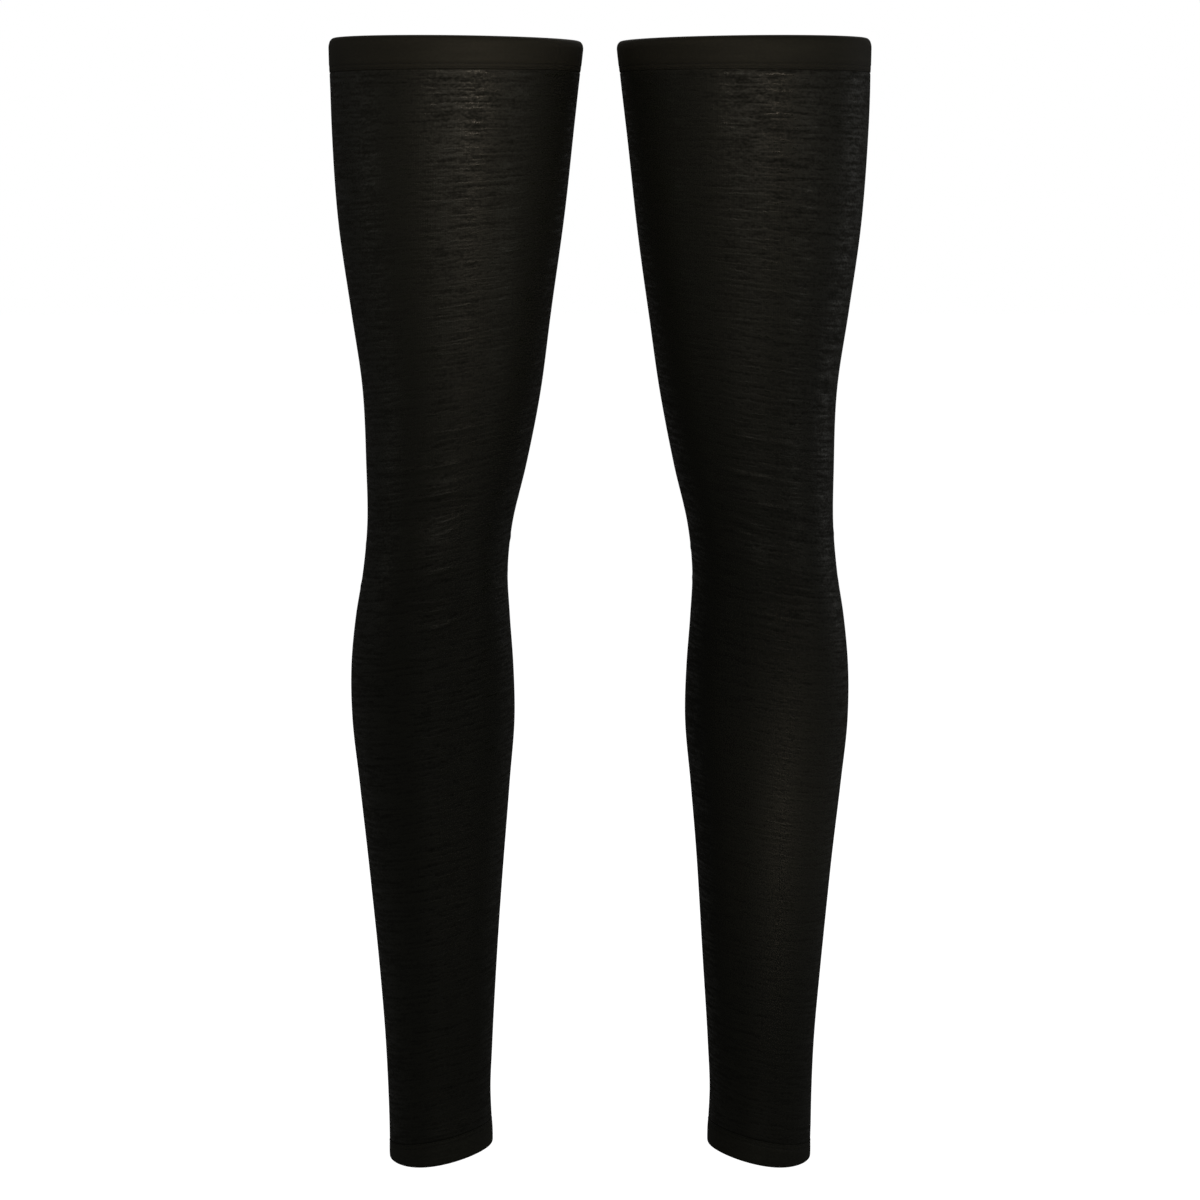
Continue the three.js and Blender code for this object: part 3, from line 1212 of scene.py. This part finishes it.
@dataclass
class Studio:
    """The plain pale floor, the soft lights and the camera of the photo's view."""

    floor_height: float = -0.84
    floor_reach: float = 40.0
    eye: tuple[float, float, float] = (0.0, -2.1, -0.1321)
    aim: tuple[float, float, float] = (0.0, 0.0, -0.3565)
    lens: float = 95.43

    # name, place, aim, width and height or cone and radius, watts
    LIGHTS = (
        SoftBox("front_softbox", (0.0, -2.6, 0.3), (0.0, 0.0, -0.3), (1.6, 1.6), 4.0),
        SoftBox("right_front_softbox", (1.7, -0.9, 0.1), (0.1, 0.0, -0.25), (0.8, 1.4), 1.5),
        SoftBox("right_back_softbox", (1.5, 0.75, 0.1), (0.1, 0.0, -0.2), (0.8, 1.4), 0.72),
        SoftBox("back_softbox", (0.1, 2.1, 1.8), (0.0, 0.0, -0.35), (1.6, 1.6), 12.0),
        SoftBox("left_softbox", (-1.75, -0.1, 0.2), (-0.1, 0.0, -0.2), (0.8, 1.4), 0.62),
        SoftSpot("thigh_spot", (0.72, -1.85, 0.25), (-0.096, -0.07, -0.078), 14.2, 0.16, 21.5),
        SoftSpot("thigh_fill", (-0.6, -1.9, 0.3), (0.0, -0.06, -0.06), 15.0, 0.2, 7.5),
        SoftSpot("right_thigh_spot", (1.15, -1.6, 0.3), (0.1, -0.07, -0.02), 12.0, 0.16, 5.0),
        SoftSpot("band_spot", (-0.3, -1.5, 1.1), (0.0, -0.05, 0.04), 17.0, 0.2, 6.0),
        SoftSpot("left_band_spot", (-1.2, -1.0, 0.8), (-0.1, 0.0, 0.0), 13.0, 0.2, 5.0),
        SoftSpot("right_band_spot", (1.2, -1.2, 0.8), (0.12, -0.03, 0.01), 9.0, 0.2, 4.0),
        SoftSpot("calf_spot", (1.05, -1.6, -0.2), (0.11, -0.04, -0.493), 7.2, 0.1, 29.0),
    )

    def build(self) -> None:
        """Builds the floor, the surroundings, the lights and the camera."""
        self.floor()
        self.surroundings()
        for light in self.LIGHTS:
            light.build()
        data = bpy.data.cameras.new("photo_camera")
        data.lens = self.lens
        data.sensor_width = 36.0
        data.clip_end = 200.0
        bpy.context.scene.camera = aimed(bpy.data.objects.new("photo_camera", data), self.eye, self.aim)
        bpy.context.scene.view_settings.view_transform = "Standard"

    def floor(self) -> None:
        """A round pale floor under the object, evenly lit, as a sheet of studio paper."""
        bm = bmesh.new()
        bmesh.ops.create_circle(bm, cap_ends=True, segments=96, radius=self.floor_reach)
        bmesh.ops.translate(bm, verts=bm.verts[:], vec=(0, 0, self.floor_height))
        obj = new_object("pale_floor", bm)
        material = new_material("matt_white_studio_paper")
        tree = material.node_tree
        paper = add_node(tree, "ShaderNodeBsdfPrincipled", {
            "Base Color": srgb("#d8d8d8"), "Roughness": 0.9, "Specular IOR Level": 0.0,
            "Emission Color": (1.0, 1.0, 1.0, 1.0), "Emission Strength": 0.98,
        })
        add_node(tree, "ShaderNodeOutputMaterial", {"Surface": paper.outputs["BSDF"]})
        obj.data.materials.append(material)
        obj.visible_diffuse = False
        obj.visible_glossy = False

    def surroundings(self) -> None:
        """White all round as the camera sees it, and dim as a light, so that the dark cloth stays dark."""
        world = bpy.data.worlds.new("white_studio")
        world.use_nodes = True
        bpy.context.scene.world = world
        tree = world.node_tree
        tree.nodes.clear()
        seen = add_node(tree, "ShaderNodeLightPath").outputs["Is Camera Ray"]
        white = add_node(tree, "ShaderNodeBackground", {"Color": (1.0, 1.0, 1.0, 1.0), "Strength": 1.0})
        dim = add_node(tree, "ShaderNodeBackground", {"Color": (1.0, 1.0, 1.0, 1.0), "Strength": 0.042})
        mixed = add_node(tree, "ShaderNodeMixShader", {
            0: seen, 1: dim.outputs["Background"], 2: white.outputs["Background"],
        })
        add_node(tree, "ShaderNodeOutputWorld", {"Surface": mixed.outputs["Shader"]})


def main() -> None:
    """Builds both leg warmers and the studio."""
    logging.basicConfig(level=logging.INFO, format="%(message)s")
    finishes = Finishes.make()
    for leg in Leg:
        for piece in LegWarmer(leg, finishes).build():
            LOG.info("%s: %d faces", piece.name, len(piece.data.polygons))
    Studio().build()


if __name__ == "__main__":
    main()
